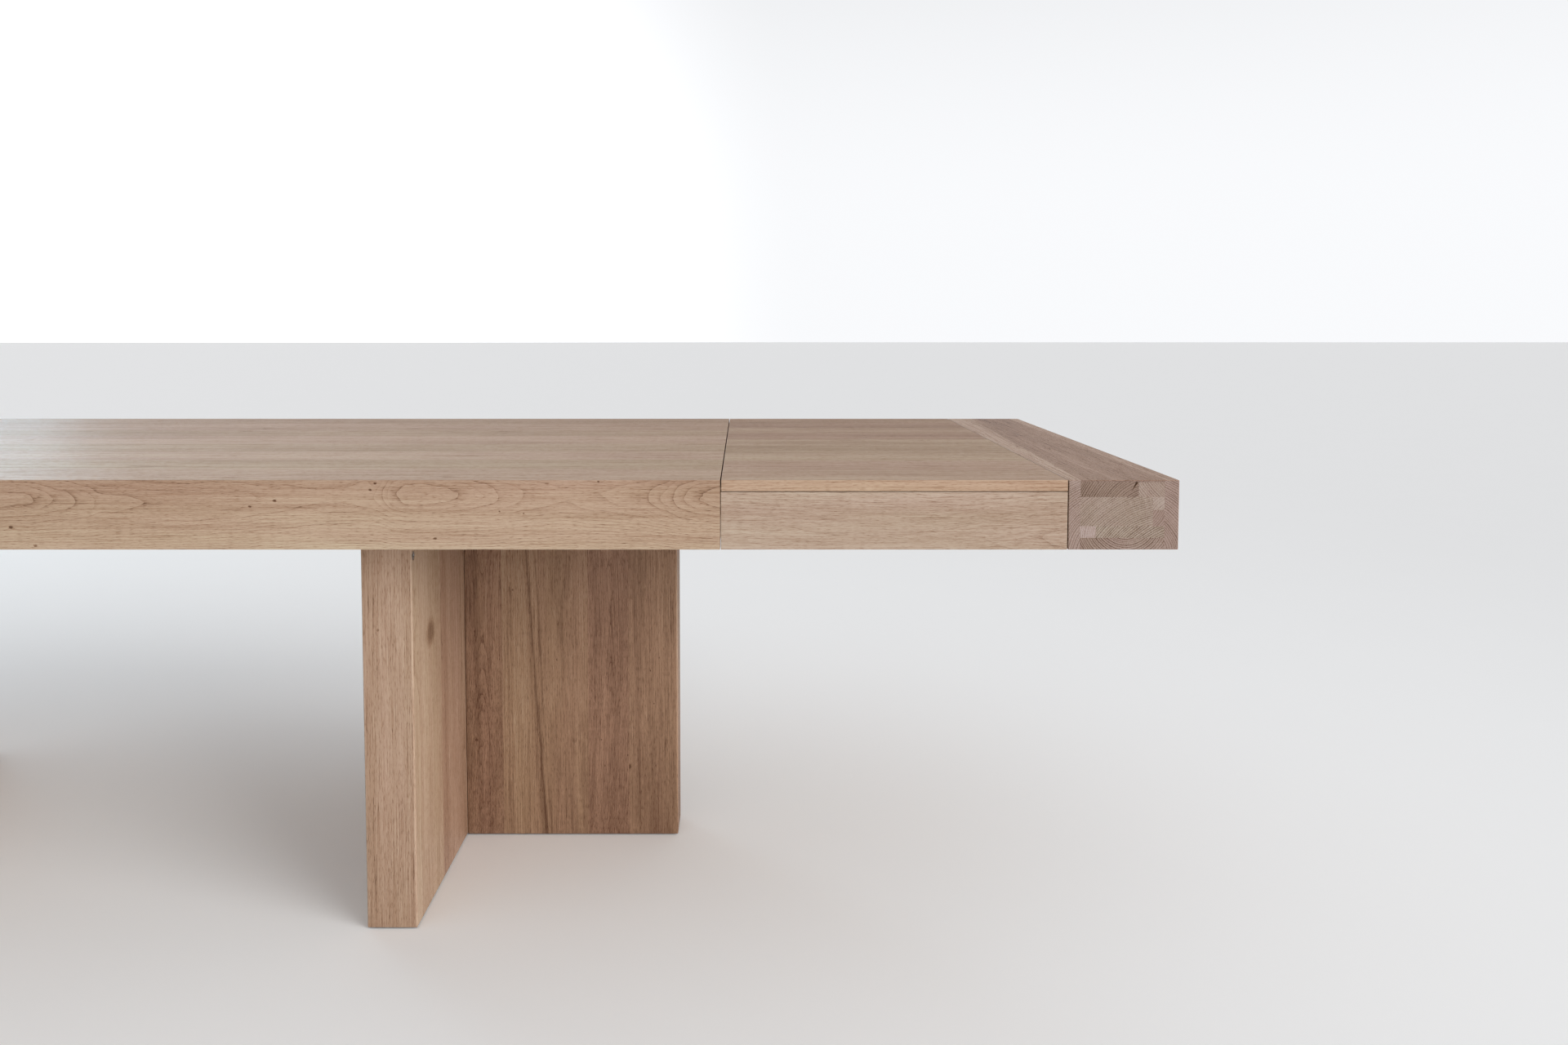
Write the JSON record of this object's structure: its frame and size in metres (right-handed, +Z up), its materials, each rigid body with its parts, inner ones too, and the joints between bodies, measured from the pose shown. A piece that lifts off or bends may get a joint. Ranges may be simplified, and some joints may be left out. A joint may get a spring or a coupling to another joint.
{
  "type": "extendable dining table",
  "caption": "Oak dining table on T-shaped panel legs, one end pulled out with its drop-in leaf, the other end closed.",
  "frame": {"origin": "centre of the bounding box on the floor: under the middle of the table as it stands, with the right end out and the left end closed", "axes": "+Z up, +X along the table towards the pulled-out end, -Y towards the front"},
  "size_m": [3.123, 1, 0.76],
  "materials": {
    "oak": "light natural oak, thin satin oil, flat-sawn figure on the aprons and end grain on the end beams",
    "top_oak": "light natural oak staves, satin, slightly greyer than the aprons",
    "inner_wood": "plain planed beech, unfinished",
    "steel": "zinc-plated steel",
    "felt": "dense grey-brown wool felt"
  },
  "bodies": {
    "frame": {"apron_back": "oak", "apron_front": "oak", "cam_bolt_left_back": "steel", "cam_bolt_left_front": "steel", "cam_bolt_right_back": "steel", "cam_bolt_right_front": "steel", "cam_left_back": "steel", "cam_left_front": "steel", "cam_right_back": "steel", "cam_right_front": "steel", "end_rail_left": "inner_wood", "end_rail_right": "inner_wood", "glide_left_back": "felt", "glide_left_front": "felt", "glide_left_outer": "felt", "glide_right_back": "felt", "glide_right_front": "felt", "glide_right_outer": "felt", "guide_strip_back_inner": "inner_wood", "guide_strip_back_outer": "inner_wood", "guide_strip_front_inner": "inner_wood", "guide_strip_front_outer": "inner_wood", "left_leaf_batten_back": "inner_wood", "left_leaf_batten_front": "inner_wood", "left_leaf_board": "top_oak", "left_leaf_hinge_lower_back": "steel", "left_leaf_hinge_lower_front": "steel", "left_leaf_hinge_upper_back": "steel", "left_leaf_hinge_upper_front": "steel", "left_leaf_skirt_back": "oak", "left_leaf_skirt_front": "oak", "leg_cross_left": "oak", "leg_cross_right": "oak", "leg_long_left": "oak", "leg_long_right": "oak", "leg_rail_left": "inner_wood", "leg_rail_right": "inner_wood", "leg_spine_left": "inner_wood", "leg_spine_right": "inner_wood", "main_top": "top_oak", "middle_rail": "inner_wood", "runner_stop_left_back": "inner_wood", "runner_stop_left_front": "inner_wood", "runner_stop_right_back": "inner_wood", "runner_stop_right_front": "inner_wood"},
    "left_end": {"left_end_beam": "oak", "left_runner_back": "inner_wood", "left_runner_front": "inner_wood"},
    "right_end": {"right_end_beam": "oak", "right_runner_back": "inner_wood", "right_runner_front": "inner_wood"},
    "right_leaf": {"right_leaf_batten_back": "inner_wood", "right_leaf_batten_front": "inner_wood", "right_leaf_board": "top_oak", "right_leaf_hinge_upper_back": "steel", "right_leaf_hinge_upper_front": "steel"},
    "right_skirt_front": {"right_leaf_hinge_lower_front": "steel", "right_leaf_skirt_front": "oak"},
    "right_skirt_back": {"right_leaf_hinge_lower_back": "steel", "right_leaf_skirt_back": "oak"}
  },
  "joints": [
    {"name": "left_end_slide", "type": "slide", "parent": "frame", "child": "left_end", "axis": [-1, 0, 0], "range_m": [0, 0.55]},
    {"name": "right_end_slide", "type": "slide", "parent": "frame", "child": "right_end", "axis": [1, 0, 0], "range_m": [0, 0.03]},
    {"name": "right_leaf_lift", "type": "slide", "parent": "frame", "child": "right_leaf", "axis": [0, 0, 1], "range_m": [0, 0.3]},
    {"name": "right_skirt_front_fold", "type": "hinge", "parent": "right_leaf", "child": "right_skirt_front", "pos_m": [1.13575, -0.478, 0.7425], "axis": [1, 0, 0], "range_deg": [0, 90]},
    {"name": "right_skirt_back_fold", "type": "hinge", "parent": "right_leaf", "child": "right_skirt_back", "pos_m": [1.13575, 0.478, 0.7425], "axis": [-1, 0, 0], "range_deg": [0, 90]}
  ]
}
